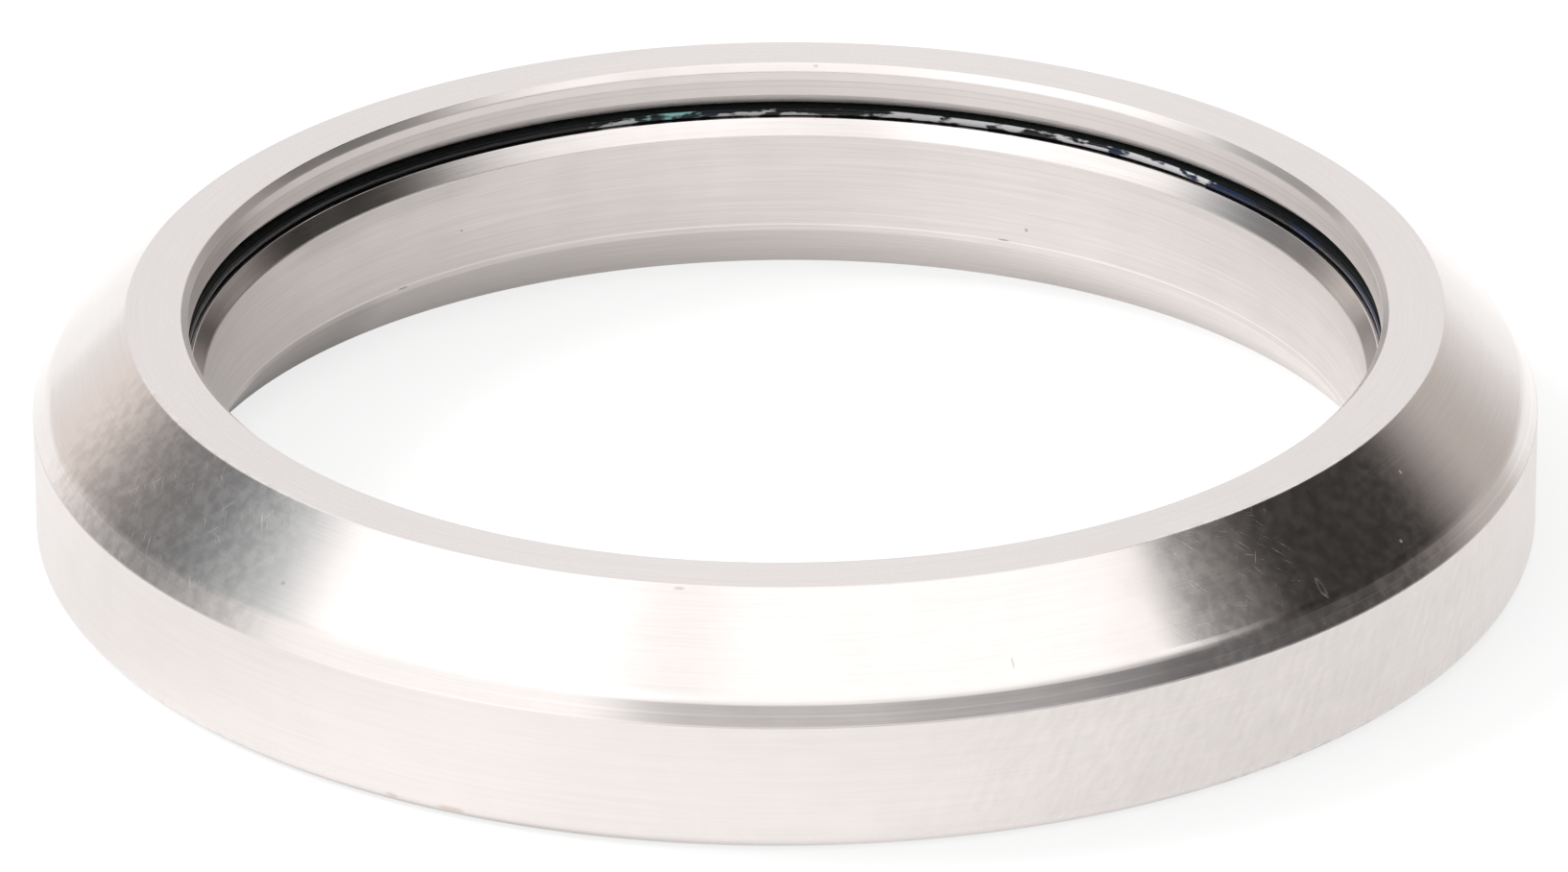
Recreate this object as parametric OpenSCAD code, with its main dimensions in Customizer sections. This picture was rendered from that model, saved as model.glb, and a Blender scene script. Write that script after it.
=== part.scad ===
// Angular-contact cartridge bearing for a bicycle headset.
// It lies on its lower faces with its axis along Z and its origin at the centre of the base.
// Each profile is drawn as radius along X and height along Y, and is turned about the axis.

/* [Envelope] */
// Diameter of the plain bore of the inner ring
bore_d = 40; // [36:0.5:46]
// Radial depth of the bearing, from the bore to the outside of the outer ring
section_w = 5.9; // [5.2:0.1:7]
// Height from the base to the top face of the outer ring
height = 8; // [7.3:0.1:9]
// Small bevel on the turned edges
edge_break = 0.12; // [0.08:0.01:0.16]

/* [Outer ring] */
// Height of the plain outside above the base
side_h = 4.45; // [4:0.05:4.9]
// Angle of the cone seat, measured from the axis
seat_angle = 45; // [40:1:50]
// Radial width of the facet between the cone seat and the outside
facet_w = 0.5; // [0.3:0.05:0.8]
// Angle of that facet, measured from the axis
facet_angle = 32.5; // [28:0.5:38]
// Radius that blends the cone seat into the facet
facet_blend = 1.6; // [0.4:0.1:2]
// Radius of the corner between the outside and the base
base_round = 0.5; // [0.1:0.05:0.8]
// Radial step from the bore of the inner ring to the bore of the upper flange
flange_step = 0.5; // [0.4:0.05:0.8]
// Chamfer at the top of the flange's bore
flange_chamfer = 0.25; // [0.1:0.05:0.3]
// Bevel at the bottom of the flange's bore, which clears the lip of the seal
flange_bevel = 0.5; // [0.3:0.05:0.65]
// Height of the space for the top seal, between the inner ring and the flange
seal_room = 0.36; // [0.32:0.02:0.6]

/* [Inner ring] */
// Height of the top of the inner ring above the ball centres
inner_rise = 2.1; // [1.9:0.05:2.4]
// Angle of the inner cone seat, measured from the axis
inner_seat_angle = 36; // [30:1:46]
// Height of the inner cone seat above the base
inner_seat_h = 1.77; // [1:0.05:2]
// Radial width of the chamfer at the top of the bore
bore_chamfer_w = 0.4; // [0.2:0.05:0.6]
// Height of that chamfer
bore_chamfer_h = 0.57; // [0.2:0.05:0.8]

/* [Balls and raceways] */
// Diameter of the balls
ball_d = 3.175; // [2.8:0.005:3.4]
// Number of balls
ball_count = 36; // [24:1:37]
// Height of the ball centres above the base
ball_z = 3.9; // [3.6:0.05:4.2]
// Angle of the line of contact, measured from the plane of the balls
contact_angle = 45; // [40:1:50]
// How much larger the radius of each raceway groove is than the radius of a ball
race_relief = 0.0635; // [0.0475:0.0005:0.0955]
// Running gap between a ball and each raceway
race_gap = 0.02; // [0.01:0.005:0.03]
// How far each raceway reaches past the line of contact on its high shoulder, in degrees
wrap_high = 58; // [52:1:62]
// How far each raceway reaches past the line of contact on its low shoulder, in degrees
wrap_low = 53; // [47:1:58]

/* [Cage] */
// Thickness of the cage's wall
cage_t = 0.8; // [0.6:0.05:0.9]
// Width of the rim between a pocket and the edge of the cage
cage_rim = 0.45; // [0.3:0.05:0.5]
// Gap between the cage's wall and the high shoulder of each ring
cage_gap = 0.1; // [0.05:0.01:0.15]
// Gap between a ball and its pocket
pocket_gap = 0.06; // [0.03:0.01:0.1]

/* [Seals] */
// Thickness of the web of the top seal
top_web_t = 0.22; // [0.18:0.01:0.26]
// Thickness of the web of the bottom seal
bottom_web_t = 0.4; // [0.3:0.05:0.5]
// Depth of the groove that holds the bead of each seal
seal_groove_depth = 0.3; // [0.2:0.05:0.4]
// Height of the groove for the top seal
top_groove_h = 0.68; // [0.55:0.01:0.75]
// Height of the groove for the bottom seal
bottom_groove_h = 0.6; // [0.5:0.05:0.8]
// Height of the bottom seal's groove above the base
bottom_groove_z = 0.4; // [0.3:0.05:0.6]
// Gap between a seal's bead and the walls of its groove
seal_seat_gap = 0.02; // [0.01:0.005:0.03]
// Running gap between a seal's lip and the inner ring
lip_gap = 0.06; // [0.04:0.01:0.1]
// Width of each seal's lip
lip_w = 0.5; // [0.4:0.05:0.6]
// How far the top seal's lip stands back from the flange's bore
lip_setback = 0.08; // [0.03:0.01:0.15]
// How far the bottom seal's lip stands above the base
lip_lift = 0.16; // [0.1:0.02:0.3]

/* [Hidden] */
function ball_name(number) = str("ball_", number < 10 ? "0" : "", number);
$fn = 96;

// How far a cutting shape reaches past the face that it cuts
cut = 1;

function along(angle) = [cos(angle), sin(angle)];
function unit(v) = v / norm(v);

bore_r = bore_d / 2;
outer_r = bore_r + section_w;
flange_r = bore_r + flange_step;
inner_h = ball_z + inner_rise;
flange_z = inner_h + seal_room;
ball_r = ball_d / 2;
ball_at = [bore_r + section_w / 2, ball_z];

// The cone seat starts at the facet and rises to the top face
facet_end = [outer_r, side_h];
cone_end = [outer_r - facet_w, side_h + facet_w / tan(facet_angle)];
top_face_end = [cone_end.x - (height - cone_end.y) * tan(seat_angle), height];

// The centre of each raceway groove lies on the line of contact
race_r = ball_r + race_relief;
race_shift = race_relief - race_gap;
outer_race_at = ball_at - race_shift * along(contact_angle);
inner_race_at = ball_at + race_shift * along(contact_angle);
outer_high = outer_race_at + race_r * along(contact_angle + wrap_high);
outer_low = outer_race_at + race_r * along(contact_angle - wrap_low);
inner_high = inner_race_at - race_r * along(contact_angle + wrap_high);
inner_low = inner_race_at - race_r * along(contact_angle - wrap_low);

// The cage's wall leans so that it passes both high shoulders with the same gap
high_from_ball = outer_high - ball_at;
cage_angle = atan2(-high_from_ball.x, high_from_ball.y)
    + asin((cage_t / 2 + cage_gap) / norm(high_from_ball));
pocket_r = ball_r + pocket_gap;

top_groove_r = outer_high.x + seal_groove_depth;
top_groove_z = flange_z - top_groove_h;
bottom_groove_r = outer_low.x + seal_groove_depth;
bottom_groove_top = bottom_groove_z + bottom_groove_h;

// Cuts a corner of a profile to a round that is tangent to both of its sides
module corner_round(before, corner, after, radius) {
    side_a = unit(before - corner);
    side_b = unit(after - corner);
    inward = unit(side_a + side_b);
    half = acos(side_a * side_b) / 2;
    reach = radius / tan(half);
    difference() {
        polygon([corner + side_a * reach, corner - inward * cut, corner + side_b * reach]);
        translate(corner + inward * radius / sin(half))
            circle(radius);
    }
}

module outer_ring_blank() {
    polygon([
        [outer_r, 0],
        facet_end,
        cone_end,
        top_face_end,
        [flange_r + flange_chamfer, height],
        [flange_r, height - flange_chamfer],
        [flange_r, flange_z + flange_bevel],
        [flange_r + flange_bevel, flange_z],
        [top_groove_r, flange_z],
        [top_groove_r, top_groove_z],
        [outer_high.x, top_groove_z],
        outer_high,
        outer_low,
        [outer_low.x, bottom_groove_top],
        [bottom_groove_r, bottom_groove_top],
        [bottom_groove_r, bottom_groove_z],
        [outer_low.x, bottom_groove_z],
        [outer_low.x, edge_break],
        [outer_low.x + edge_break, 0]
    ]);
}

module outer_ring() {
    color("gainsboro")
    rotate_extrude()
    difference() {
        outer_ring_blank();
        translate(outer_race_at)
            circle(race_r);
        corner_round([0, 0], [outer_r, 0], facet_end, base_round);
        corner_round(facet_end, cone_end, top_face_end, facet_blend);
    }
}

module inner_ring() {
    color("silver")
    rotate_extrude()
    difference() {
        polygon([
            [bore_r + inner_seat_h * tan(inner_seat_angle), 0],
            [inner_high.x - edge_break, 0],
            [inner_high.x, edge_break],
            inner_high,
            inner_low,
            [inner_low.x, inner_h - edge_break],
            [inner_low.x - edge_break, inner_h],
            [bore_r + bore_chamfer_w, inner_h],
            [bore_r, inner_h - bore_chamfer_h],
            [bore_r, inner_seat_h]
        ]);
        translate(inner_race_at)
            circle(race_r);
    }
}

// The wall of the cage as a bevelled strip that leans inwards over the balls
module cage_strip() {
    half_t = cage_t / 2;
    half_w = pocket_r + cage_rim;
    translate(ball_at)
    rotate(cage_angle)
        polygon([
            [half_t - edge_break, -half_w],
            [half_t, edge_break - half_w],
            [half_t, half_w - edge_break],
            [half_t - edge_break, half_w],
            [edge_break - half_t, half_w],
            [-half_t, half_w - edge_break],
            [-half_t, edge_break - half_w],
            [edge_break - half_t, -half_w]
        ]);
}

module cage_pocket() {
    translate([ball_at.x, 0, ball_at.y])
    rotate([0, 90 - cage_angle, 0])
        cylinder(r = pocket_r, h = cage_t + 2 * cut, center = true);
}

// The turn about the axis that brings a ball or its pocket to its place
function ball_turn(number) = 360 / ball_count * (number - 1);

module ball_cage() {
    color("ivory")
    difference() {
        rotate_extrude()
            cage_strip();
        for (number = [1:ball_count])
            rotate(ball_turn(number))
                cage_pocket();
    }
}

module ball(number) {
    color("lightsteelblue")
    rotate(ball_turn(number))
    translate([ball_at.x, 0, ball_at.y])
        sphere(ball_r);
}

// The bead sits in the groove under the flange, and the lip runs just above the inner ring
module top_seal() {
    bead_r = top_groove_r - seal_seat_gap;
    bead_root_r = outer_high.x - seal_seat_gap;
    bead_z = top_groove_z + seal_seat_gap;
    top = flange_z - seal_seat_gap;
    web_z = top - top_web_t;
    lip_r = flange_r + lip_setback;
    lip_z = inner_h + lip_gap;
    color("black")
    rotate_extrude()
        polygon([
            [bead_r, top],
            [lip_r + edge_break, top],
            [lip_r, top - edge_break],
            [lip_r, lip_z],
            [lip_r + lip_w, lip_z],
            [lip_r + lip_w + web_z - lip_z, web_z],
            [bead_root_r, web_z],
            [bead_root_r, bead_z],
            [bead_r, bead_z]
        ]);
}

// The bead sits in the lower groove, and the lip runs round the foot of the inner ring
module bottom_seal() {
    bead_r = bottom_groove_r - seal_seat_gap;
    bead_root_r = outer_low.x - seal_seat_gap;
    bead_z = bottom_groove_z + seal_seat_gap;
    top = bottom_groove_top - seal_seat_gap;
    web_z = top - bottom_web_t;
    lip_r = inner_high.x + lip_gap;
    color("black")
    rotate_extrude()
        polygon([
            [bead_r, bead_z],
            [bead_r, top],
            [lip_r, top],
            [lip_r, lip_lift],
            [lip_r + lip_w / 2, lip_lift],
            [lip_r + lip_w, web_z],
            [bead_root_r, web_z],
            [bead_root_r, bead_z]
        ]);
}

outer_ring();
inner_ring();
ball_cage();
top_seal();
bottom_seal();
for (number = [1:ball_count])
    ball(number);
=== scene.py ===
# %% [markdown]
# # A headset bearing on a white table
# The part is an angular-contact bearing of two hard steel rings, with balls in a cage between them.
# Almost everything on it was turned on a lathe and then ground, so almost everything is a body of
# revolution with a very small round on each edge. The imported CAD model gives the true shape, and
# this lesson dresses it: it softens the edges, adds the grease, and makes the finishes and the light.

# %% Load the frame
import math

import bmesh
import bpy
from mathutils import Matrix, Quaternion, Vector


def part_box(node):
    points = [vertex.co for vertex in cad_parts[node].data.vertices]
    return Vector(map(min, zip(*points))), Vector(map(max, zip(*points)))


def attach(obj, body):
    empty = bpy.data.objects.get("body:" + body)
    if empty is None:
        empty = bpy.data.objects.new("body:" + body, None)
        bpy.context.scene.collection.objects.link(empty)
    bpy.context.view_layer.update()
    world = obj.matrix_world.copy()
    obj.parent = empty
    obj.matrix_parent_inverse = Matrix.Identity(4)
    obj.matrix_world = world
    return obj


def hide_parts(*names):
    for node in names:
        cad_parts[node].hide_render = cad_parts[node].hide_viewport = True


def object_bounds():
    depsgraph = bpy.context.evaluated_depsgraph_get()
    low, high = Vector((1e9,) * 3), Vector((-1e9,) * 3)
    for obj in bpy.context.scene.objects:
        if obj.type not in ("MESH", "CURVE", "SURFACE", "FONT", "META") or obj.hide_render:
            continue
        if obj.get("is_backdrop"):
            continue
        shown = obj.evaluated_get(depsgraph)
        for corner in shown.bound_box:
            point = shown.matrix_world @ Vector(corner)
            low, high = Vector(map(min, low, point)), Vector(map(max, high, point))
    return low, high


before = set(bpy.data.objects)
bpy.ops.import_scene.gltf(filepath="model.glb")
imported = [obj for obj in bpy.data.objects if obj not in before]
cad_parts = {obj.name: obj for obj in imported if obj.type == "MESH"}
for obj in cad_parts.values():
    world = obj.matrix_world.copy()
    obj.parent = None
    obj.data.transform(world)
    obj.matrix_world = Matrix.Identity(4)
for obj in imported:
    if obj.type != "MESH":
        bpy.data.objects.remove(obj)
cad_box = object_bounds()
MM = 0.001

# %% [markdown]
# ## Node trees as expressions
# Materials, the studio light and the lathe are all node trees. A tree drawn with the mouse is quick,
# but one made by a script is long to read, because each link is a line. So one small class wraps an
# output socket: the usual signs on it add Math nodes, and `put` adds any other node.

# %% A wrapper for sockets
# A Mix node has sockets of one name for each data type, so its colour sockets go by their numbers.
MIX_A = 6
MIX_B = 7
MIX_RESULT = 2


class Wire:
    """An output socket of a node tree. Sums and products of wires add Math nodes."""

    def __init__(self, tree, socket):
        self.tree = tree
        self.socket = socket

    def put(self, kind, settings=None, inputs=None, output=0):
        """Adds a node: its settings first, then the values or links of its sockets."""
        node = self.tree.nodes.new(kind)
        for name, value in (settings or {}).items():
            setattr(node, name, value)
        for key, value in (inputs or {}).items():
            if isinstance(value, Wire):
                self.tree.links.new(value.socket, node.inputs[key])
            else:
                node.inputs[key].default_value = value
        return Wire(self.tree, node.outputs[output])

    def math(self, operation, *values):
        return self.put("ShaderNodeMath", {"operation": operation}, dict(enumerate(values)))

    def __add__(self, other):
        return self.math("ADD", self, other)

    def __sub__(self, other):
        return self.math("SUBTRACT", self, other)

    def __mul__(self, other):
        return self.math("MULTIPLY", self, other)

    def __truediv__(self, other):
        return self.math("DIVIDE", self, other)

    def __radd__(self, other):
        return self.math("ADD", other, self)

    def __rsub__(self, other):
        return self.math("SUBTRACT", other, self)

    def __rmul__(self, other):
        return self.math("MULTIPLY", other, self)

    def __rtruediv__(self, other):
        return self.math("DIVIDE", other, self)

    def ramp(self, low, high, out_low=0.0, out_high=1.0):
        """A soft step of this wire, from out_low at low to out_high at high."""
        spans = {"From Min": low, "From Max": high, "To Min": out_low, "To Max": out_high}
        settings = {"interpolation_type": "SMOOTHSTEP"}
        return self.put("ShaderNodeMapRange", settings, {"Value": self, **spans})

    def between(self, low, high, soft):
        """1 where this wire lies between low and high, falling to 0 over soft on both sides."""
        return self.ramp(low - soft, low) * self.ramp(high, high + soft, 1.0, 0.0)

    def blend(self, first, second):
        """The colour first where this wire is 0, and second where it is 1."""
        inputs = {"Factor": self, MIX_A: first, MIX_B: second}
        return self.put("ShaderNodeMix", {"data_type": "RGBA"}, inputs, output=MIX_RESULT)


def rgb(red, green, blue):
    return (red, green, blue, 1.0)


print("Socket wrapper ready")

# %% [markdown]
# ## Read each ring's section back from the CAD
# A lathe needs only the outline of half a section. The CAD mesh already holds it, so typing it again
# would only bring mistakes. A copy of the mesh is cut by the upright plane through the axis, and the
# edges of the cut are walked in order. Points on a straight stretch say nothing and are dropped.

# %% Section of a turned node
SAME_PLACE = 1e-7
STRAIGHT = math.radians(0.1)


def turn_at(before, point, after):
    """The angle by which a path turns at a point."""
    first = point - before
    second = after - point
    return abs(first.angle_signed(second, 0.0))


def section_of(name):
    """The outline of a turned CAD node as a closed list of (radius, height) points."""
    cut = bmesh.new()
    cut.from_mesh(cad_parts[name].data)
    bmesh.ops.remove_doubles(cut, verts=cut.verts, dist=SAME_PLACE)
    everything = cut.verts[:] + cut.edges[:] + cut.faces[:]
    bmesh.ops.bisect_plane(
        cut, geom=everything, dist=SAME_PLACE, plane_co=(0, 0, 0), plane_no=(0, 1, 0),
        clear_inner=True, clear_outer=True,
    )
    edge = max(cut.edges, key=lambda e: e.verts[0].co.x + e.verts[1].co.x)
    start, here = edge.verts
    walked = [start]
    while here != start:
        walked.append(here)
        edge = next(e for e in here.link_edges if e != edge)
        here = edge.other_vert(here)
    points = [Vector((v.co.x, v.co.z)) for v in walked]
    cut.free()
    turns = [turn_at(points[i - 1], p, points[(i + 1) % len(points)]) for i, p in enumerate(points)]
    return [p for p, turn in zip(points, turns) if turn > STRAIGHT]


sections = {name: section_of(name) for name in ("outer_ring", "inner_ring", "top_seal", "bottom_seal")}
for name, section in sections.items():
    print(name, "has a section of", len(section), "points")

# %% [markdown]
# ## Break the sharp edges
# No edge of a real ring is sharp: tumbling and stoning leave a round of a few hundredths of a
# millimetre, and that round is what draws the thin bright line between two faces. Each corner
# becomes a small arc that is tangent to both sides. A point is then set close to each end of a long
# side, so that smooth shading bends the normal only there and the faces stay true.

# %% Ease the corners of a section
CORNER = math.radians(15)
ARC_STEP = math.radians(14)
MOST_OF_SIDE = 0.3
LONG_SIDE = 3.0


def arc_at(before, corner, after, radius):
    """Points of a small arc in place of a corner, tangent to both of its sides."""
    side_a = (before - corner).normalized()
    side_b = (after - corner).normalized()
    half = math.acos(max(-1.0, min(1.0, side_a.dot(side_b)))) / 2
    shortest = min((before - corner).length, (after - corner).length)
    reach = min(radius / math.tan(half), MOST_OF_SIDE * shortest)
    radius = reach * math.tan(half)
    centre = corner + (side_a + side_b).normalized() * (radius / math.sin(half))
    first = corner + side_a * reach - centre
    sweep = first.angle_signed(corner + side_b * reach - centre)
    steps = max(3, round(abs(sweep) / ARC_STEP))
    arc = []
    for step in range(steps + 1):
        turned = first.copy()
        turned.rotate(Matrix.Rotation(-sweep * step / steps, 2))
        arc.append(centre + turned)
    return arc


def eased(section, radius):
    """The section with every corner rounded by a small arc."""
    result = []
    for i, corner in enumerate(section):
        before, after = section[i - 1], section[(i + 1) % len(section)]
        if turn_at(before, corner, after) < CORNER:
            result.append(corner)
        else:
            result.extend(arc_at(before, corner, after, radius))
    return result


def held(section):
    """The section with a point close to the ends of each side that is long for its neighbours."""
    result = []
    count = len(section)
    for i, point in enumerate(section):
        after = section[(i + 1) % count]
        side = after - point
        gap_before = (point - section[i - 1]).length
        gap_after = (section[(i + 2) % count] - after).length
        result.append(point)
        if side.length > LONG_SIDE * gap_before:
            result.append(point + side.normalized() * gap_before)
        if side.length > LONG_SIDE * gap_after:
            result.append(after - side.normalized() * gap_after)
    return result


EASE_STEEL = 0.04 * MM
EASE_RUBBER = 0.06 * MM
outlines = {}
for name, section in sections.items():
    radius = EASE_STEEL if name.endswith("ring") else EASE_RUBBER
    outlines[name] = held(eased(section, radius))
    print(name, "is now drawn by", len(outlines[name]), "points")

# %% [markdown]
# ## A lathe of Geometry Nodes
# A turned piece follows one rule: its section goes once round the axis. Curve to Mesh does that when
# the path is a circle and the profile is the section, moved so that the path's radius is its zero.
# The section goes in as a loop of edges, and the tree has named inputs for the path and the facets.

# %% The lathe tree
SEGMENTS = 288


def new_tree(name, sockets):
    """A Geometry Nodes tree with named inputs. Returns it and a wire for each input."""
    tree = bpy.data.node_groups.new(name, "GeometryNodeTree")
    tree.interface.new_socket("Geometry", in_out="OUTPUT", socket_type="NodeSocketGeometry")
    for label, kind in sockets.items():
        tree.interface.new_socket(label, in_out="INPUT", socket_type=kind)
    inlet = tree.nodes.new("NodeGroupInput")
    return tree, {label: Wire(tree, inlet.outputs[label]) for label in sockets}


def close_tree(tree, shape, material):
    """Ends a tree in Realize Instances and Set Material."""
    real = shape.put("GeometryNodeRealizeInstances", None, {"Geometry": shape})
    smooth = real.put("GeometryNodeSetShadeSmooth", None, {"Geometry": real})
    painted = smooth.put("GeometryNodeSetMaterial", None, {"Geometry": smooth, "Material": material})
    outlet = tree.nodes.new("NodeGroupOutput")
    tree.links.new(painted.socket, outlet.inputs[0])


def lathe_tree():
    """Sweeps a section, given as a loop of edges, once round the axis."""
    tree, inlet = new_tree("lathe", {
        "Section": "NodeSocketGeometry",
        "Path radius": "NodeSocketFloat",
        "Segments": "NodeSocketInt",
        "Material": "NodeSocketMaterial",
    })
    section = inlet["Section"]
    radius = inlet["Path radius"]
    loop = section.put("GeometryNodeMeshToCurve", None, {"Mesh": section})
    shift = radius.put("ShaderNodeCombineXYZ", None, {"X": 0.0 - radius})
    moved = loop.put("GeometryNodeTransform", None, {"Geometry": loop, "Translation": shift})
    flat = moved.put(
        "GeometryNodeTransform", None, {"Geometry": moved, "Rotation": (math.pi / 2, 0.0, 0.0)}
    )
    circle = radius.put(
        "GeometryNodeCurvePrimitiveCircle", None,
        {"Resolution": inlet["Segments"], "Radius": radius},
    )
    upright = circle.put("GeometryNodeSetCurveNormal", {"mode": "Z_UP"}, {"Curve": circle})
    swept = upright.put(
        "GeometryNodeCurveToMesh", None, {"Curve": upright, "Profile Curve": flat}
    )
    close_tree(tree, swept, inlet["Material"])
    return tree


LATHE = lathe_tree()
print("Lathe tree has", len(LATHE.nodes), "nodes")

# %% [markdown]
# ## From a tree to a piece
# A modifier is worked out anew whenever the scene changes, and an export wants a plain mesh. So a
# tree runs on a blank object, its result is kept as a mesh, and the blank goes away. The faces are
# then turned outwards, because the sweep's direction decides which way they look.

# %% Run a tree and keep its mesh
def made_by(tree, name, start_mesh, values):
    """Runs a tree on a mesh and returns an object that holds the plain result."""
    blank = bpy.data.objects.new(name + "_blank", start_mesh)
    bpy.context.scene.collection.objects.link(blank)
    modifier = blank.modifiers.new("tree", "NODES")
    modifier.node_group = tree
    for item in tree.interface.items_tree:
        if item.in_out == "INPUT" and item.name in values:
            modifier[item.identifier] = values[item.name]
    graph = bpy.context.evaluated_depsgraph_get()
    mesh = bpy.data.meshes.new_from_object(blank.evaluated_get(graph))
    mesh.name = name
    bpy.data.objects.remove(blank)
    piece = bpy.data.objects.new(name, mesh)
    bpy.context.scene.collection.objects.link(piece)
    return piece


def facing_out(piece):
    """Turns the faces of a closed piece outwards."""
    shape = bmesh.new()
    shape.from_mesh(piece.data)
    bmesh.ops.recalc_face_normals(shape, faces=shape.faces)
    shape.to_mesh(piece.data)
    shape.free()
    return piece


def turned(name, outline, material):
    """A solid ring, turned from an outline of (radius, height) points."""
    loop = bpy.data.meshes.new(name + "_outline")
    rim = [(i, (i + 1) % len(outline)) for i in range(len(outline))]
    loop.from_pydata([(p.x, 0.0, p.y) for p in outline], rim, [])
    values = {"Path radius": min(p.x for p in outline), "Segments": SEGMENTS, "Material": material}
    return facing_out(made_by(LATHE, name, loop, values))


print("Each ring will have", SEGMENTS, "steps round its axis")

# %% [markdown]
# ## Coordinates of a turned piece
# Marks on turned steel run round its axis, so a plain noise looks wrong on it. Here Object
# coordinates become radius, height and heading. Marks made from these have no seam, and they stay on
# the ring when it turns. Heading 0 is towards the camera and 90 is to the right.

# %% Helpers for materials
# ARC_RADIUS turns a heading into a length. A spot is full up to SPOT_FULL and gone from SPOT_NONE,
# and RAGGED says how much a noise frays its rim.
ARC_RADIUS = 23 * MM
HAIR_EDGE = 0.12
RAGGED = 2.0
SPOT_FULL = 1.2
SPOT_NONE = 2.2


def new_material(name):
    """A material with only a Principled shader. Returns it, its shader and Object coordinates."""
    material = bpy.data.materials.new(name)
    material.use_nodes = True
    shader = material.node_tree.nodes["Principled BSDF"]
    place = Wire(material.node_tree, None).put("ShaderNodeTexCoord", output="Object")
    return material, shader, place


def link(wire, shader, name):
    wire.tree.links.new(wire.socket, shader.inputs[name])


def noise(vector, scale, detail=2.0, w=None):
    """Noise of a number of cells to the metre. With w it is the 4D kind."""
    settings = {"noise_dimensions": "3D" if w is None else "4D"}
    inputs = {"Vector": vector, "Scale": scale, "Detail": detail}
    if w is not None:
        inputs["W"] = w
    return vector.put("ShaderNodeTexNoise", settings, inputs)


def vector_of(x, y, z):
    return x.put("ShaderNodeCombineXYZ", None, {"X": x, "Y": y, "Z": z})


def around(place):
    """Radius, height and the unit vector away from the axis, of a place on a turned piece."""
    x = place.put("ShaderNodeSeparateXYZ", None, {"Vector": place})
    y = Wire(x.tree, x.socket.node.outputs["Y"])
    z = Wire(x.tree, x.socket.node.outputs["Z"])
    radius = x.math("SQRT", x * x + y * y)
    return radius, z, x / radius, y / radius


class Skin:
    """Where a point of a turned piece lies: round the axis, and along the section."""

    def __init__(self, place):
        self.radius, self.height, self.east, self.north = around(place)
        heading = self.east.math("ARCTAN2", self.east, 0.0 - self.north)
        self.arc = heading * ARC_RADIUS
        self.along = self.height - self.radius

    def lines(self, pitch, streak, detail=2.0):
        """Noise that is drawn out round the axis: lines of a pitch, each about a streak long."""
        wraps = self.radius * (1 / streak)
        vector = vector_of(self.east * wraps, self.north * wraps, self.radius * (1 / pitch))
        return noise(vector, 1.0, detail, w=self.height * (1 / pitch))

    def hairs(self, angle, length, width, rare):
        """Hair scratches at an angle to the heading, in degrees: the peaks of a drawn-out noise."""
        c, s = math.cos(math.radians(angle)), math.sin(math.radians(angle))
        run = self.arc * c + self.along * s
        across = self.along * c - self.arc * s
        field = noise(vector_of(run * (1 / length), across * (1 / width), angle), 1.0, 0.0)
        return field.ramp(rare, rare + HAIR_EDGE)

    def facing(self, heading):
        """The cosine of the angle between this place's heading and another, in degrees."""
        turn = math.radians(heading)
        return self.east * math.sin(turn) - self.north * math.cos(turn)

    def spot(self, heading, height, wide, tall, ragged):
        """1 in a small mark, given its heading, its height, its half sizes and a noise for its rim."""
        turn = math.radians(heading)
        off = (self.east * math.cos(turn) + self.north * math.sin(turn)) * self.radius * (1 / wide)
        up = (self.height - height) * (1 / tall)
        inside = (off * off + up * up + RAGGED * ragged).ramp(SPOT_FULL, SPOT_NONE, 1.0, 0.0)
        return inside * self.facing(heading).ramp(0.0, 0.1)

    def spots(self, table, ragged):
        """1 in each mark of a table of headings in degrees, and heights and half sizes in mm."""
        total = self.radius * 0.0
        for heading, height, wide, tall in table:
            total = total + self.spot(heading, height * MM, wide * MM, tall * MM, ragged)
        return total

    def shades(self, zone, table):
        """Soft zones by heading, for wear and for painted reflections: an amount, a heading and the
        cosines of its two edges.
        """
        total = zone * 0.0
        for amount, heading, low, high in table:
            total = total + zone * amount * self.facing(heading).ramp(low, high)
        return total


print("Material helpers ready")

# %% [markdown]
# ## Where the marks are
# A noise can't place the few marks that the eye goes to: nicks, two bright specks, a loop scratched
# into the cone, and two brown spots at the foot. So they are named one by one, each by its heading in
# degrees, its height and its half sizes in millimetres.

# %% Single marks
OUTER_NICKS = (
    (-8.9, 7.90, 0.20, 0.04), (176.8, 7.92, 0.12, 0.05), (17.3, 5.76, 0.05, 0.16),
    (-42.6, 6.05, 0.10, 0.06), (-57.0, 5.60, 0.10, 0.06),
)
INNER_NICKS = (
    (154.3, 2.59, 0.08, 0.09), (156.8, 2.05, 0.25, 0.04), (-144.8, 3.42, 0.06, 0.06),
    (-137.2, 1.95, 0.30, 0.04),
)
SPECKS = ((60.4, 6.93, 0.07, 0.06), (55.1, 5.61, 0.07, 0.06))
LOOP_OUTSIDE = ((45.0, 5.56, 0.16, 0.352),)
LOOP_INSIDE = ((45.0, 5.56, 0.10, 0.220),)
STAINS = ((-30.2, 0.34, 0.30, 0.12), (-25.2, 0.34, 0.55, 0.10))
print("Single marks:", len(OUTER_NICKS + INNER_NICKS + SPECKS + STAINS), "and a loop")

# %% [markdown]
# ## Steel
# The rings are one grade of bearing steel. Ground steel mirrors the room, but its fine lines spread
# each highlight across them, so the shader is anisotropic and the lines are only a faint bump and a
# small change of tone. Where it was handled, it has a soft mottling and hair scratches in clumps.

# %% Steel finish
STEEL = rgb(0.765, 0.72, 0.704)
STAIN = rgb(0.52, 0.38, 0.26)
FINE_LINES = (0.045 * MM, 3 * MM)
BROAD_LINES = (0.13 * MM, 8 * MM)
LINE_RELIEF = 0.0005 * MM
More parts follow.
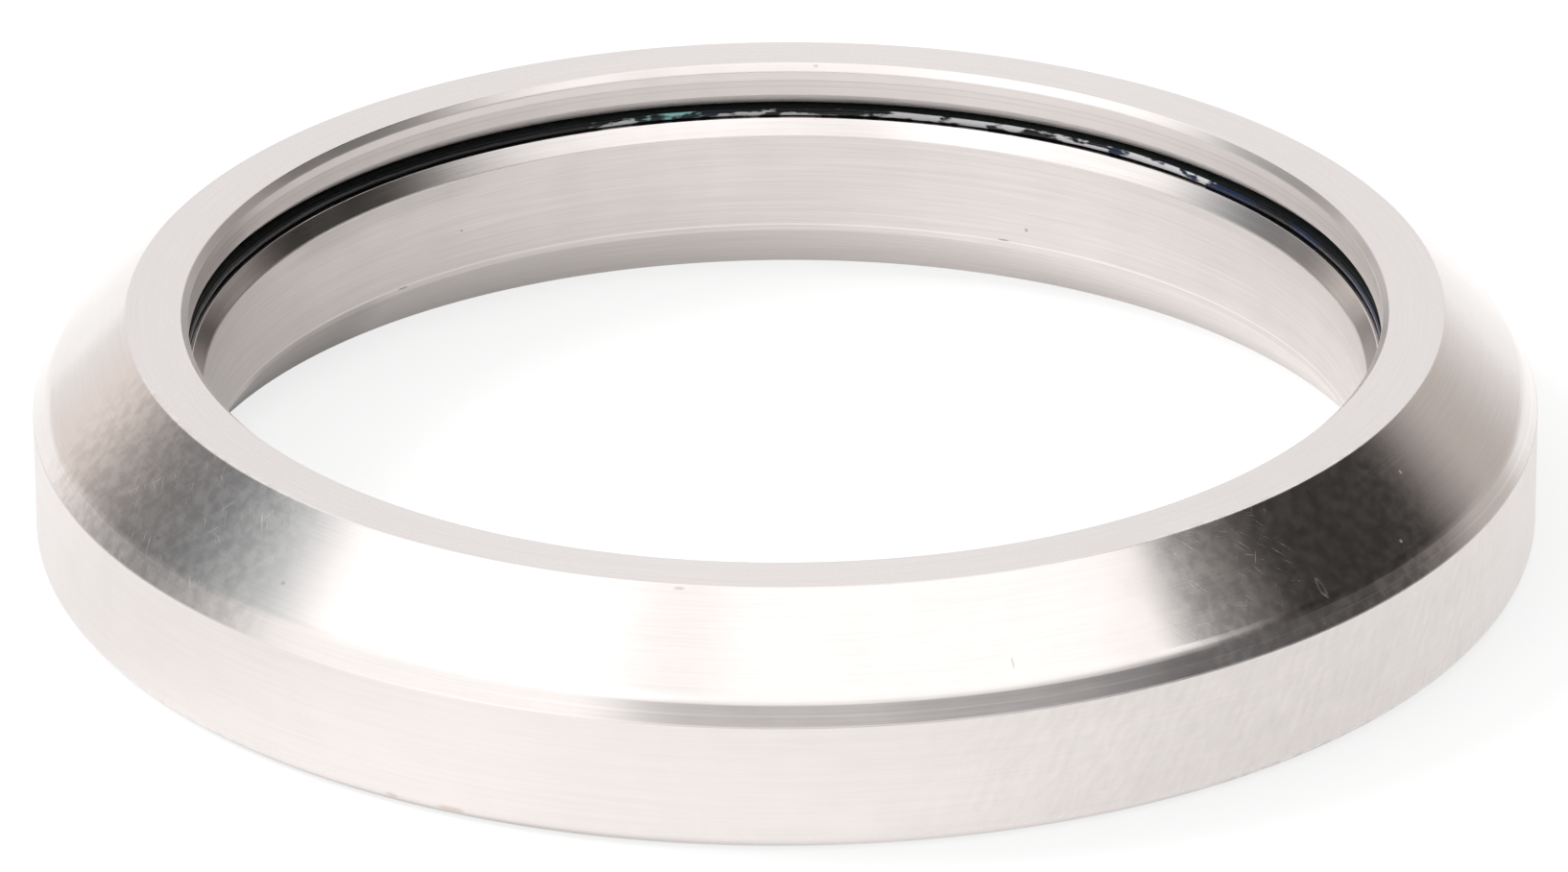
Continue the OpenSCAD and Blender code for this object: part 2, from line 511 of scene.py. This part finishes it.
# Cells to the metre of the three noises that don't run round the axis.
GRAIN_CELLS = 9000.0
CLOUD_CELLS = 700.0
MOTTLE_CELLS = 2200.0
GROUND = 0.44
ANISOTROPY = 0.7
QUARTER_TURN = 0.25
# Each set of hairs has an angle in degrees, a length and a width in mm, and how rare it is.
HAIRS = (
    (118, 1.5, 0.07, 0.70), (106, 1.1, 0.06, 0.73), (128, 1.0, 0.06, 0.73),
    (66, 1.2, 0.06, 0.73), (150, 1.2, 0.06, 0.73),
)


def steel(name, parts, smooth, ground, turned_depth):
    """Bearing steel. smooth and ground are the roughness of polished and of ground faces, and
    parts gives how far a place is ground, worn, scratched and marked, how much its marks and
    painted reflections, highlights and shade darken or lighten it, and how far it is stained."""
    material, shader, place = new_material(name)
    skin = Skin(place)
    grain = noise(place, GRAIN_CELLS, 1.0)
    cloud = noise(place, CLOUD_CELLS, 3.0)
    mottle = noise(place, MOTTLE_CELLS, 4.0)
    wall, worn, scratched, hairs, dark, stain = parts(skin, mottle)
    fine = skin.lines(*FINE_LINES)
    broad = skin.lines(*BROAD_LINES)
    for angle, length, width, rare in HAIRS:
        hairs = hairs + scratched * skin.hairs(angle, length * MM, width * MM, rare)
    lines = fine.ramp(0.3, 0.7) * 0.6 + broad.ramp(0.3, 0.7) * 0.4
    # dark sums the marks and the painted reflections and shade that darken the base colour; below zero
    # it is a painted highlight.
    shade = 1 - turned_depth * (1 - lines) - 0.02 * (cloud - 0.5) - dark
    tint = place.put(
        "ShaderNodeMix", {"data_type": "RGBA", "blend_type": "MULTIPLY"},
        {"Factor": 1.0, MIX_A: stain.blend(STEEL, STAIN), MIX_B: shade}, output=MIX_RESULT,
    )
    link(tint, shader, "Base Color")
    rough = smooth + (ground - smooth) * wall + 0.08 * (cloud - 0.5) + 0.05 * (fine - 0.5)
    link(rough + worn * 0.10 * (mottle - 0.5) + 0.15 * hairs, shader, "Roughness")
    relief = fine * 0.3 + grain * 0.02 - hairs * 0.6
    bump = relief.put(
        "ShaderNodeBump", None, {"Strength": 1.0, "Distance": LINE_RELIEF, "Height": relief}
    )
    link(bump, shader, "Normal")
    shader.inputs["Metallic"].default_value = 1.0
    shader.inputs["Anisotropic"].default_value = ANISOTROPY
    shader.inputs["Anisotropic Rotation"].default_value = QUARTER_TURN
    return material


print("Steel with", len(HAIRS), "sets of hair scratches")

# %% [markdown]
# ## The faces of the outer ring
# Each face was finished by another tool, so each has its own grade: the outside and the top face are
# ground, the flange's bore is turned, and the cone is nearly polished. The masks are made of radius and
# height. Those of the flange, the top and the outside are measured from the section. The cone's, the
# facet's, the bore lines' and the painted highlight line's are plain numbers, to be changed along with
# the ring's size.
#
# The SHADES tables are a weak point. They are painted reflections: they darken or lighten the steel
# itself where the photo shows reflections that this tent doesn't give. The facet's darker front is
# painted shade, the bright line round the cone is a painted highlight, and the darker band at the foot
# is painted shade. A real ring has no such tones. They look like stains in another light, and better
# lights would replace them.

# %% Outer ring
FLANGE_R = min(p.x for p in sections["outer_ring"])
OUTSIDE_R = max(p.x for p in sections["outer_ring"])
TOP_Z = max(p.y for p in sections["outer_ring"])
WALL_EDGE = 0.04 * MM
CHAMFER = 0.25 * MM
BEVEL = 0.5 * MM
CONE_R = 22.4 * MM
FACET_Z = 5.0 * MM
FOOT_R = 25 * MM
OUTER_SMOOTH = 0.16
OUTER_LINES = 0.05
BORE_LINES = ((0.09, 7.40, 7.42, 0.03), (0.06, 7.18, 7.21, 0.04))
# The two heights and the soft edge of a painted highlight, a bright line round the cone.
PAINTED_HIGHLIGHT_LINE = (4.78 * MM, 4.80 * MM, 0.04 * MM)
# LIP_SHADES and FLANGE_SHADES are painted reflections on the chamfer above the flange's bore and on the
# bore itself.
LIP_SHADES = (
    (0.35, -98, 0.94, 0.99), (0.28, 93, 0.96, 0.99), (0.12, 120, 0.97, 0.995),
    (-0.12, -152, 0.975, 0.995),
)
FLANGE_SHADES = ((0.25, -98, 0.94, 0.99),)
HANDLED = ((1.0, -60, 0.945, 0.985), (1.0, 46, 0.96, 0.985))
RUBBED = ((1.0, -55, 0.975, 0.99), (1.0, 38, 0.988, 0.997))


def outer_walls(skin):
    """Masks of the flange's bore, the chamfer above it, the cone and the outside, and the grade."""
    flange = skin.radius.ramp(FLANGE_R + WALL_EDGE / 2, FLANGE_R + WALL_EDGE, 1.0, 0.0)
    bevel = skin.radius.ramp(FLANGE_R + BEVEL, FLANGE_R + BEVEL + 0.05 * MM, 1.0, 0.0)
    bevel = bevel * skin.height.ramp(TOP_Z - 0.6 * MM, TOP_Z - 0.5 * MM, 1.0, 0.0)
    outside = skin.radius.ramp(OUTSIDE_R - WALL_EDGE, OUTSIDE_R - WALL_EDGE / 2)
    top = skin.height.ramp(TOP_Z - WALL_EDGE, TOP_Z - WALL_EDGE / 2)
    lip = skin.radius.ramp(FLANGE_R + CHAMFER, FLANGE_R + CHAMFER + 0.03 * MM, 1.0, 0.0)
    lip = lip * skin.height.ramp(TOP_Z - CHAMFER - 0.02 * MM, TOP_Z - CHAMFER)
    lip = lip * (1 - top) * (1 - flange)
    cone = skin.radius.ramp(CONE_R, CONE_R + 0.2 * MM) * (1 - outside)
    wall = outside * 0.7 + top * 0.4 + lip * 0.6 + flange.math("MAXIMUM", flange, bevel * 1.4)
    return flange, lip, cone, outside, wall


def hatching(skin, mottle):
    """Slanted marks of a belt on the outside: a drawn-out noise at 30 degrees to the axis."""
    run = skin.arc * 0.5 + skin.height * 0.87 + mottle * 0.5 * MM
    across = skin.height * 0.5 - skin.arc * 0.87 + mottle * 0.5 * MM
    field = vector_of(run * (1 / (0.9 * MM)), across * (1 / (0.24 * MM)), 0.0)
    return (noise(field, 1.0, 1.0) - 0.5) * skin.facing(42).ramp(0.80, 0.95)


def outer_parts(skin, mottle):
    """What steel() asks about a place on the outer ring."""
    flange, lip, cone, outside, wall = outer_walls(skin)
    worn = cone * 0.06 + skin.shades(cone * 0.94, HANDLED)
    clumps = noise(vector_of(skin.arc, skin.along, 0.0), 450.0, 1.0).ramp(0.42, 0.56)
    scratched = skin.shades(cone * clumps, RUBBED)
    marks = skin.spots(LOOP_OUTSIDE, mottle) - skin.spots(LOOP_INSIDE, mottle)
    marks = marks + 1.6 * skin.spots(SPECKS, mottle)
    # Painted reflections, darker or lighter by heading, on the chamfer above the flange's bore and on
    # the bore.
    dark = skin.shades(lip, LIP_SHADES) + skin.shades(flange, FLANGE_SHADES)
    for depth, low, high, soft in BORE_LINES:
        dark = dark + flange * depth * skin.height.between(low * MM, high * MM, soft * MM)
    dark = dark + worn * mottle.ramp(0.35, 0.65, 0.08, -0.08)
    # Painted shade: the facet is painted darker on its front half.
    facet = cone * skin.height.ramp(FACET_Z, FACET_Z + 0.25 * MM, 1.0, 0.0)
    dark = dark + 0.07 * facet * skin.facing(0).ramp(0.2, 0.6)
    # A painted highlight: a bright line round the cone, towards the right front.
    dark = dark - 0.09 * cone * skin.height.between(*PAINTED_HIGHLIGHT_LINE) * skin.facing(45).ramp(0.2, 0.8)
    # Painted shade: a band at the foot of the outside, where the ring meets the table, is painted
    # darker.
    foot = skin.height.ramp(0.12 * MM, 0.34 * MM, 1.0, 0.0)
    dark = dark + 0.12 * foot * skin.radius.ramp(FOOT_R, FOOT_R + 0.2 * MM)
    dark = dark + 0.22 * skin.spots(OUTER_NICKS, mottle)
    dark = dark + 0.16 * outside * hatching(skin, mottle)
    return wall, worn, scratched, marks, dark, 0.4 * skin.spots(STAINS, mottle)


outer_steel = steel("outer_ring_steel", outer_parts, OUTER_SMOOTH, GROUND, OUTER_LINES)
print("Outer ring's steel has", len(outer_steel.node_tree.nodes), "nodes")

# %% [markdown]
# ## The faces of the inner ring
# The bore is ground, the chamfer above it is polished and the flare below it lies between the two. A
# painted highlight, a bright line, parts bore and flare. This ring has a few nicks and no hair
# scratches. Its painted reflections and highlight turn with it, where a real reflection would stay.

# %% Inner ring
BORE_R = min(p.x for p in sections["inner_ring"])
CHAMFER_Z = 5.38 * MM
FLARE_Z = 2.0 * MM
INNER_SMOOTH = 0.13
INNER_LINES = 0.11
# Painted reflections: the chamfer, the upper bore and the flare are painted darker or lighter by
# heading.
CHAMFER_SHADES = (
    (0.55, -106, 0.94, 0.99), (0.20, 109, 0.985, 0.998), (-0.15, -134, 0.97, 0.995),
)
BORE_SHADES = ((0.12, -134, 0.96, 0.99),)
FLARE_SHADES = ((0.20, -122, 0.97, 0.99),)


def inner_parts(skin, mottle):
    """What steel() asks about a place on the inner ring."""
    bore = skin.radius.ramp(BORE_R + WALL_EDGE / 2, BORE_R + WALL_EDGE, 1.0, 0.0)
    chamfer = skin.height.ramp(CHAMFER_Z, CHAMFER_Z + 0.05 * MM)
    below = skin.height.ramp(FLARE_Z, FLARE_Z + 0.1 * MM, 0.7, 0.0) + chamfer * 0.15
    high = bore * skin.height.ramp(4.4 * MM, 5.0 * MM)
    flare = skin.height.ramp(FLARE_Z - 0.1 * MM, FLARE_Z, 1.0, 0.0)
    # Painted reflections on the chamfer, the upper bore and the flare, darker or lighter by heading.
    dark = skin.shades(chamfer, CHAMFER_SHADES) + skin.shades(high, BORE_SHADES)
    dark = dark + chamfer * skin.facing(145).ramp(0.72, 0.95, -0.12, 0.02)
    dark = dark + skin.shades(flare, FLARE_SHADES)
    # A painted highlight: a bright line where the bore meets the flare.
    dark = dark - 0.16 * skin.height.between(FLARE_Z - 0.02 * MM, FLARE_Z + 0.02 * MM, 0.03 * MM)
    dark = dark + 0.4 * skin.spots(INNER_NICKS, mottle)
    none = mottle * 0.0
    return bore.math("MAXIMUM", bore, below), none, none, none, dark, none


inner_steel = steel("inner_ring_steel", inner_parts, INNER_SMOOTH, GROUND, INNER_LINES)
print("Inner ring's steel has", len(inner_steel.node_tree.nodes), "nodes")

# %% [markdown]
# ## Rubber, nylon and balls
# The seals are black rubber, which shows hardly any highlight under its film of grease. The cage is a
# pale nylon and the balls are polished, though both stay hidden unless the bearing is taken apart.

# %% Rubber, nylon and polished balls
RUBBER_SHINE = 0.04


def rubber():
    material, shader, place = new_material("seal_rubber")
    grain = noise(place, 1500.0, 4.0)
    link(grain.blend(rgb(0.003, 0.004, 0.004), rgb(0.010, 0.012, 0.012)), shader, "Base Color")
    link(0.22 + 0.16 * grain, shader, "Roughness")
    bump = grain.put("ShaderNodeBump", None, {"Strength": 0.3, "Distance": 0.01 * MM, "Height": grain})
    link(bump, shader, "Normal")
    shader.inputs["Specular IOR Level"].default_value = RUBBER_SHINE
    return material


def nylon():
    material, shader, place = new_material("cage_nylon")
    grain = noise(place, 900.0, 3.0)
    link(grain.blend(rgb(0.70, 0.66, 0.55), rgb(0.80, 0.77, 0.67)), shader, "Base Color")
    link(0.42 + 0.12 * grain, shader, "Roughness")
    return material


def polished():
    material, shader, place = new_material("ball_steel")
    haze = noise(place, 1200.0, 2.0)
    link(haze.blend(rgb(0.74, 0.73, 0.72), rgb(0.80, 0.79, 0.78)), shader, "Base Color")
    link(0.04 + 0.05 * haze, shader, "Roughness")
    shader.inputs["Metallic"].default_value = 1.0
    return material


seal_rubber = rubber()
cage_nylon = nylon()
ball_steel = polished()
print("Materials:", [m.name for m in (outer_steel, inner_steel, seal_rubber, cage_nylon, ball_steel)])

# %% [markdown]
# ## Turn the rings and the seals
# Each outline now goes through the lathe. The result rides on the body of its CAD node and stands in
# for it, and its box is compared with the node's box, because a round may only take material away.

# %% Turn the rings and the seals
turned_pieces = (
    ("outer_ring", "outer", outer_steel, "outer_ring_steel"),
    ("inner_ring", "inner", inner_steel, "inner_ring_steel"),
    ("top_seal", "outer", seal_rubber, "seal_rubber"),
    ("bottom_seal", "outer", seal_rubber, "seal_rubber"),
)
for name, body, material, slot in turned_pieces:
    piece = turned("turned_" + name, outlines[name], material)
    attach(piece, body)
    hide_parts(name)
    corners = [Vector(c) for c in piece.bound_box]
    low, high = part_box(name)
    print(name, len(piece.data.polygons), "faces, low corner off by", (corners[0] - low) / MM,
          "high corner off by", (corners[6] - high) / MM)

# %% [markdown]
# ## Grease
# The seal's lip is wet with the grease that was pushed out of the bearing. It is a thin bead all round,
# now thicker and now thinner, so the tree gives each point of a circle its own height and thickness
# from two noises, and sweeps a small oval along it. It stays clear of the inner ring.

# %% The bead tree
PATH_POINTS = 1200
OVAL_POINTS = 14


def bead_tree():
    """Sweeps a small oval along a circle whose height and thickness vary."""
    tree, inlet = new_tree("smeared_bead", {
        "Path radius": "NodeSocketFloat",
        "Height": "NodeSocketFloat",
        "Thick": "NodeSocketFloat",
        "Tall": "NodeSocketFloat",
        "Lump size": "NodeSocketFloat",
        "Material": "NodeSocketMaterial",
    })
    radius, thick = inlet["Path radius"], inlet["Thick"]
    circle = radius.put(
        "GeometryNodeCurvePrimitiveCircle", None, {"Resolution": PATH_POINTS, "Radius": radius}
    )
    place = circle.put("GeometryNodeInputPosition")
    lumps = noise(place, 1.0 / inlet["Lump size"], 2.0)
    waves = noise(place, 0.4 / inlet["Lump size"], 2.0)
    rise = vector_of(radius * 0.0, 0.0, inlet["Height"] + inlet["Tall"] * (waves - 0.5))
    lifted = circle.put(
        "GeometryNodeSetPosition", None, {"Geometry": circle, "Offset": rise}
    )
    upright = lifted.put("GeometryNodeSetCurveNormal", {"mode": "Z_UP"}, {"Curve": lifted})
    sized = upright.put(
        "GeometryNodeSetCurveRadius", None, {"Curve": upright, "Radius": lumps.ramp(0.3, 0.7, 0.7, 1.0)}
    )
    oval = sized.put(
        "GeometryNodeCurvePrimitiveCircle", None, {"Resolution": OVAL_POINTS, "Radius": 1.0}
    )
    size = vector_of(thick, inlet["Tall"], 1.0)
    oval = oval.put("GeometryNodeTransform", None, {"Geometry": oval, "Scale": size})
    swept = sized.put(
        "GeometryNodeCurveToMesh", None, {"Curve": sized, "Profile Curve": oval}
    )
    close_tree(tree, swept, inlet["Material"])
    return tree


print("Bead tree ready")

# %% [markdown]
# ## The look of the grease
# The grease is black, with a navy tint towards the back right. Its pale and teal patches are painted
# reflections: a noise that is drawn out round the axis parts them from the black, and more of it is
# pale at the far side.

# %% Grease
GREASE_R = 20.57 * MM
GREASE_Z = 6.17 * MM
GREASE_THICK = 0.055 * MM
GREASE_TALL = 0.125 * MM
GREASE_LUMP = 1.5 * MM
GREASE_SHINE = 0.25
REFLECTION_HEADING = 164


def wet_grease():
    """Black, with a navy tint towards the back right, and pale and teal patches of painted reflection.
    """
    material, shader, place = new_material("seal_grease")
    skin = Skin(place)
    wraps = skin.radius * (1 / (1.1 * MM))
    drawn = vector_of(skin.east * wraps, skin.north * wraps, skin.height * (1 / (0.35 * MM)))
    patches = noise(drawn, 1.0, 3.0)
    hue = noise(place, 260.0, 1.0)
    # More of the painted reflection towards the far side.
    far_reflection = skin.facing(REFLECTION_HEADING).ramp(0.78, 0.90, 0.26, 0.0)
    pale = (patches - far_reflection).ramp(0.43, 0.51)
    navy = hue.ramp(0.45, 0.60) * skin.facing(140).ramp(0.6, 0.8)
    thin = navy.blend(rgb(0.003, 0.003, 0.004), rgb(0.004, 0.010, 0.035))
    teal = skin.facing(-169).ramp(0.9960, 0.9995)
    # The pale and teal patches are painted reflections.
    painted_reflection = teal.blend(rgb(0.42, 0.42, 0.43), rgb(0.20, 0.42, 0.40))
    link(pale.blend(thin, painted_reflection), shader, "Base Color")
    link(0.12 + 0.2 * pale, shader, "Roughness")
    shader.inputs["Specular IOR Level"].default_value = GREASE_SHINE
    bump = patches.put(
        "ShaderNodeBump", None, {"Strength": 0.6, "Distance": 0.05 * MM, "Height": patches}
    )
    link(bump, shader, "Normal")
    return material


bead_values = {
    "Path radius": GREASE_R, "Height": GREASE_Z, "Thick": GREASE_THICK, "Tall": GREASE_TALL,
    "Lump size": GREASE_LUMP, "Material": wet_grease(),
}
bead_start = bpy.data.meshes.new("grease_start")
grease = facing_out(made_by(bead_tree(), "grease_bead", bead_start, bead_values))
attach(grease, "outer")
corners = [Vector(c) / MM for c in grease.bound_box]
print("Grease bead:", len(grease.data.polygons), "faces, from", corners[0], "to", corners[6])

# %% [markdown]
# ## The cage and the balls
# Both are hidden behind the seals, and their CAD meshes are true to them. They keep those meshes and
# only get their materials.

# %% Paint the cage and the balls
for name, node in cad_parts.items():
    if name == "ball_cage":
        node.data.materials.clear()
        node.data.materials.append(cage_nylon)
    elif name.startswith("ball_"):
        node.data.materials.clear()
        node.data.materials.append(ball_steel)
print("Balls painted:", sum(name.startswith("ball_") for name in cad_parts) - 1)

# %% [markdown]
# ## The white table
# The table is white in the picture and throws a soft shadow. The steel shows it too, from below, so
# rays that come from the steel see their own brightness, which differs from side to side. The table
# therefore mixes a plain surface, which takes the shadow, with an emission that only some rays see.

# %% Floor
FLOOR_HALF = 1.5
FLOOR_Z = -0.01 * MM
FLOOR_COLOUR = rgb(0.88, 0.88, 0.87)
FLOOR_ROUGH = 0.9
# The emission's brightness to the camera, and its share of the table for the camera, for the steel,
# and what the steel sees more of it outside the ring.
CAMERA_BRIGHT = 1.02
CAMERA_SHARE = 0.75
STEEL_SHARE = 0.3
STEEL_MORE = 0.2


def floor_material():
    """A plain white surface, mixed with an emission for rays from the camera and the steel."""
    material, shader, place = new_material("white_table")
    tree = material.node_tree
    shader.inputs["Base Color"].default_value = FLOOR_COLOUR
    shader.inputs["Roughness"].default_value = FLOOR_ROUGH
    shader.inputs["Specular IOR Level"].default_value = 0.0
    camera_ray = place.put("ShaderNodeLightPath")
    glossy_ray = Wire(tree, camera_ray.socket.node.outputs["Is Glossy Ray"])
    white = tree.nodes.new("ShaderNodeEmission")
    across = place.put("ShaderNodeSeparateXYZ", None, {"Vector": place})
    reach = around(place)[0]
    outside = reach.ramp(24 * MM, 26 * MM)
    # Painted light and shade on the table for the steel. Outside the ring it is brightest a little left
    # of the centre and dimmer to the right and further out, with a brighter strip close round the right
    # side. Inside the ring it is painted shade at the left and brighter at the right.
    strip = reach.ramp(27 * MM, 32 * MM, 0.35, 0.0) * across.ramp(-10 * MM, 5 * MM)
    beside = across.ramp(-27 * MM, -20 * MM, 0.85, 1.25) * across.ramp(-5 * MM, 25 * MM, 1.0, 0.81)
    beside = beside * (1 + strip) * reach.ramp(30 * MM, 60 * MM, 1.0, 0.86)
    within = across.ramp(-20 * MM, 8 * MM, 0.6, 1.3)
    strength = camera_ray * CAMERA_BRIGHT + glossy_ray * (within + outside * (beside - within))
    tree.links.new(strength.socket, white.inputs["Strength"])
    mix = tree.nodes.new("ShaderNodeMixShader")
    factor = camera_ray * CAMERA_SHARE + glossy_ray * (STEEL_SHARE + STEEL_MORE * outside)
    tree.links.new(factor.socket, mix.inputs[0])
    tree.links.new(shader.outputs[0], mix.inputs[1])
    tree.links.new(white.outputs[0], mix.inputs[2])
    tree.links.new(mix.outputs[0], tree.nodes["Material Output"].inputs["Surface"])
    return material


floor_mesh = bpy.data.meshes.new("table_top")
corners = [(x * FLOOR_HALF, y * FLOOR_HALF, FLOOR_Z) for x, y in ((-1, -1), (1, -1), (1, 1), (-1, 1))]
floor_mesh.from_pydata(corners, [], [(0, 1, 2, 3)])
floor = bpy.data.objects.new("table_top", floor_mesh)
floor_mesh.materials.append(floor_material())
bpy.context.scene.collection.objects.link(floor)
floor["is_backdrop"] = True
print("Table top at", round(FLOOR_Z / MM, 3), "mm")

# %% [markdown]
# ## The tent
# Polished steel has hardly a colour of its own: it shows the room. The photographer's room is a white
# tent with a bright sheet overhead, an opening in front for the camera and a dark gap on each side.
# Here the tent is the world, and each gap is a soft patch that takes part of the light away. Lamps
# would light the table too, and patches only change what the steel shows.

# %% World
CEILING = 1.45
WALL = 0.95
# A patch has a heading and a rise, the angles to which it is full and beyond which it is nothing,
# and the part of the light that it takes, or adds if that is negative. Angles are in degrees.
RIGHT = (107, 31, 11, 30, 0.945)
RIGHT_BACK = (131, 13, 4, 30, 0.38)
PATCHES = (
    RIGHT, RIGHT_BACK, (112, 14, 3, 14, 0.40), (-116, 23.5, 4, 31, 0.74), (-27, 62, 3, 9, 0.12),
    (180, 25, 14, 34, -0.06),
)
# These two end where the ceiling begins.
LOW_PATCHES = ((70, 22, 8, 50, 0.82), (34, 35, 6, 20, 0.30))
# These are places without a part: a bright sheet, and where the tent is brown or cool.
SHEET = (-56, 28, 18, 40)
BROWN_LEFT = (-137, 12, 6, 20)
COOL_LEFT = (-106, 34, 6, 16)
SHEET_LIGHT = 0.45
FRONT_PART = 0.38
LID_PART = 0.68
WHITE = rgb(1.0, 1.0, 1.0)
BROWN = rgb(1.0, 0.93, 0.88)
COOL = rgb(0.94, 1.0, 1.02)


def towards(heading, rise):
    """The unit vector of a heading and a rise, in degrees. Heading 0 is the camera's, 90 is right."""
    turn, lift = math.radians(heading), math.radians(rise)
    return (math.sin(turn) * math.cos(lift), -math.cos(turn) * math.cos(lift), math.sin(lift))


def patch(direction, heading, rise, full, none):
    """1 within so many degrees of a place on the tent, falling to 0 further out."""
    dot = direction.put(
        "ShaderNodeVectorMath", {"operation": "DOT_PRODUCT"},
        {0: direction, 1: towards(heading, rise)}, output=1,
    )
    return (dot.math("ARCCOSINE", dot) * (180 / math.pi)).ramp(full, none, 1.0, 0.0)


def studio():
    """The tent: what the steel sees of it, and plain white for the camera."""
    world = bpy.data.worlds.new("tent")
    bpy.context.scene.world = world
    world.use_nodes = True
    tree = world.node_tree
    background = tree.nodes["Background"]
    direction = Wire(tree, None).put("ShaderNodeTexCoord", output="Generated")
    up, east, north = around(direction)[1:]
    heading = east.math("ARCTAN2", east, 0.0 - north) * (180 / math.pi)
    rise = up.math("ARCSINE", up) * (180 / math.pi)
    below = (rise + heading.ramp(8, 50, 0.0, 6.0)).ramp(40, 45, 1.0, 0.0)
    lid = heading.ramp(78.5, 81.8) * heading.ramp(110, 150, 1.0, 0.0) * rise.ramp(40, 44)
    front = heading.ramp(-34, -16) * heading.ramp(20, 70, 1.0, 0.0) * below
    light = WALL + (CEILING - WALL) * rise.ramp(38, 46) + SHEET_LIGHT * patch(direction, *SHEET)
    for *place, part in PATCHES:
        light = light * (1 - part * patch(direction, *place))
    for *place, part in LOW_PATCHES:
        light = light * (1 - part * patch(direction, *place) * below)
    light = light * (1 - FRONT_PART * front) * (1 - LID_PART * lid)
    brown = patch(direction, *RIGHT[:4]) + patch(direction, *RIGHT_BACK[:4])
    brown = brown + patch(direction, *BROWN_LEFT)
    hue = brown.math("MINIMUM", brown, 1.0).blend(WHITE, BROWN)
    hue = patch(direction, *COOL_LEFT).blend(hue, COOL)
    tree.links.new(hue.socket, background.inputs["Color"])
    tree.links.new(light.socket, background.inputs["Strength"])
    camera_ray = light.put("ShaderNodeLightPath")
    plain = tree.nodes.new("ShaderNodeBackground")
    mix = tree.nodes.new("ShaderNodeMixShader")
    tree.links.new(camera_ray.socket, mix.inputs[0])
    tree.links.new(background.outputs[0], mix.inputs[1])
    tree.links.new(plain.outputs[0], mix.inputs[2])
    plain.inputs["Color"].default_value = WHITE
    tree.links.new(mix.outputs[0], tree.nodes["World Output"].inputs["Surface"])
    return world


print("The tent has", len(studio().node_tree.nodes), "nodes")

# %% [markdown]
# ## The key lamp
# One large soft lamp at the left, a little behind, gives the table its faint shadow. The steel doesn't
# show it, because the tent is there for that.

# %% Key lamp
KEY_HEADING = -105
KEY_RISE = 42
KEY_AWAY = 0.45
KEY_SIZE = 0.22
KEY_POWER = 1.7


def key_lamp():
    """A soft disk lamp that the steel doesn't show."""
    data = bpy.data.lights.new("key", "AREA")
    data.shape = "DISK"
    data.size = KEY_SIZE
    data.energy = KEY_POWER
    lamp = bpy.data.objects.new("key", data)
    way = Vector(towards(KEY_HEADING, KEY_RISE))
    lamp.location = way * KEY_AWAY
    lamp.rotation_euler = way.to_track_quat("Z", "Y").to_euler()
    lamp.visible_glossy = False
    bpy.context.scene.collection.objects.link(lamp)
    return lamp


print("Key lamp at", [round(c, 3) for c in key_lamp().location], "m")

# %% [markdown]
# ## The camera
# The picture was taken with a long lens from about 42 cm, 25 degrees above the table.

# %% Camera
CAMERA_AT = Vector((0.0, -383.6, 181.8)) * MM
CAMERA_AIM = Vector((-0.05, 0.0, 2.9)) * MM
CAMERA_LENS = 281.5
CAMERA_ROLL = math.radians(0.26)
SENSOR_WIDTH = 36.0
CLIP_START = 0.01

camera_data = bpy.data.cameras.new("camera")
camera_data.lens = CAMERA_LENS
camera_data.sensor_width = SENSOR_WIDTH
camera_data.clip_start = CLIP_START
camera = bpy.data.objects.new("camera", camera_data)
camera.location = CAMERA_AT
gaze = (CAMERA_AIM - CAMERA_AT).normalized()
camera.rotation_mode = "QUATERNION"
camera.rotation_quaternion = Quaternion(gaze, CAMERA_ROLL) @ gaze.to_track_quat("-Z", "Y")
bpy.context.scene.collection.objects.link(camera)
bpy.context.scene.camera = camera
print("Camera is", round(CAMERA_AT.length, 3), "m away")

# %% [markdown]
# ## Finish
# The colours go to the screen without a film look, and the sizes of both boxes are printed.

# %% Hand over
bpy.context.scene.view_settings.view_transform = "Standard"
sizes = {
    "cad": [list(corner) for corner in cad_box],
    "visual": [list(corner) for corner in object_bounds()],
}
for name, box in sizes.items():
    print(name, "box in mm:", [[round(c / MM, 3) for c in corner] for corner in box])
